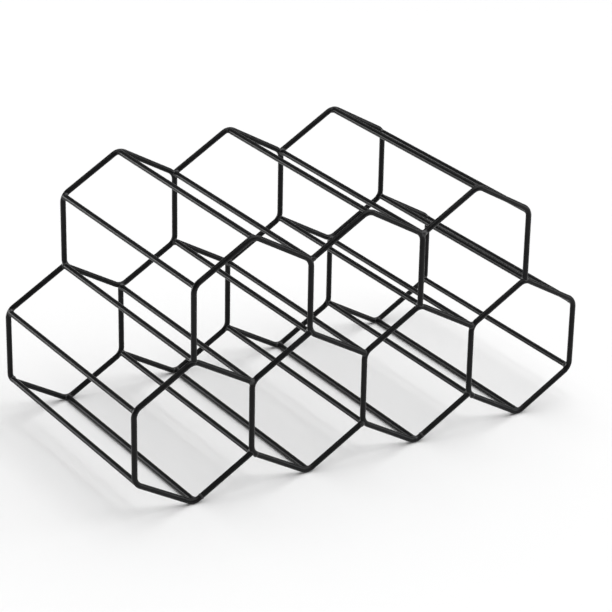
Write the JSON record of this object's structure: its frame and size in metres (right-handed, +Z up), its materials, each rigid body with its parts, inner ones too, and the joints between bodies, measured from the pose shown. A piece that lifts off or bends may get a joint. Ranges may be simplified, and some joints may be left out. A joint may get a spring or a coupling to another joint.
{
  "type": "wine rack",
  "caption": "Tabletop honeycomb wine rack: matching front and back frames of bent black steel wire with nested hexagonal bottle cells, joined by straight welded crossbars.",
  "frame": {"origin": "on the table top, under the middle of the rack", "axes": "+X along the rows of cells to the right as seen from the front, +Y from the front frame to the back frame along the bottles, +Z up"},
  "size_m": [0.3802, 0.1962, 0.1938],
  "materials": {
    "black_powder_coat": "satin black powder coat"
  },
  "bodies": {
    "root": {"front_wire_lower_1": "black_powder_coat", "front_wire_lower_2": "black_powder_coat", "front_wire_lower_3": "black_powder_coat", "front_wire_lower_4": "black_powder_coat", "front_wire_upper_1": "black_powder_coat", "front_wire_upper_2": "black_powder_coat", "front_wire_upper_3": "black_powder_coat", "back_wire_lower_1": "black_powder_coat", "back_wire_lower_2": "black_powder_coat", "back_wire_lower_3": "black_powder_coat", "back_wire_lower_4": "black_powder_coat", "back_wire_upper_1": "black_powder_coat", "back_wire_upper_2": "black_powder_coat", "back_wire_upper_3": "black_powder_coat", "crossbar_foot_1": "black_powder_coat", "crossbar_foot_2": "black_powder_coat", "crossbar_foot_3": "black_powder_coat", "crossbar_foot_4": "black_powder_coat", "crossbar_low_1": "black_powder_coat", "crossbar_low_2": "black_powder_coat", "crossbar_low_3": "black_powder_coat", "crossbar_low_4": "black_powder_coat", "crossbar_low_5": "black_powder_coat", "crossbar_high_1": "black_powder_coat", "crossbar_high_2": "black_powder_coat", "crossbar_high_3": "black_powder_coat", "crossbar_high_4": "black_powder_coat", "crossbar_high_5": "black_powder_coat", "crossbar_crown_1": "black_powder_coat", "crossbar_crown_2": "black_powder_coat", "crossbar_crown_3": "black_powder_coat", "crossbar_crown_4": "black_powder_coat", "crossbar_shoulder_1": "black_powder_coat", "crossbar_shoulder_2": "black_powder_coat", "crossbar_shoulder_3": "black_powder_coat", "crossbar_shoulder_4": "black_powder_coat", "crossbar_top_1": "black_powder_coat", "crossbar_top_2": "black_powder_coat", "crossbar_top_3": "black_powder_coat"}
  },
  "joints": []
}
